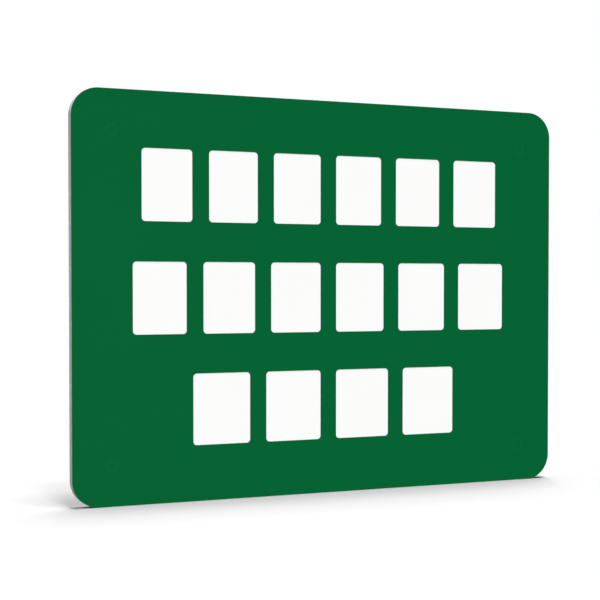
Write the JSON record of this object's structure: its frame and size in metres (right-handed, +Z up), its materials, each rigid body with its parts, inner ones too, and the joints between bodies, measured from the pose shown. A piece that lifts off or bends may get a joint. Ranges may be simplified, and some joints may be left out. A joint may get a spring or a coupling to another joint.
{
  "type": "safety zone sign",
  "caption": "Flat rectangular safety sign: white rigid sheet with round corners, faced with green film that is cut out in rows of plain white blocks where the message goes.",
  "frame": {"origin": "middle of the flat back face, which lies on the wall or fence", "axes": "+Z up as the sign is read, +X to the reader's right, the face looks towards -Y and +Y points out of the back into the wall"},
  "size_m": [0.3, 0.0061, 0.225],
  "materials": {
    "white_sheet": "satin white foamed plastic, the cut edges slightly coarser",
    "green_film": "satin green self-adhesive film, very lightly grained"
  },
  "bodies": {
    "root": {"sheet": "white_sheet", "face_film": "green_film"}
  },
  "joints": []
}
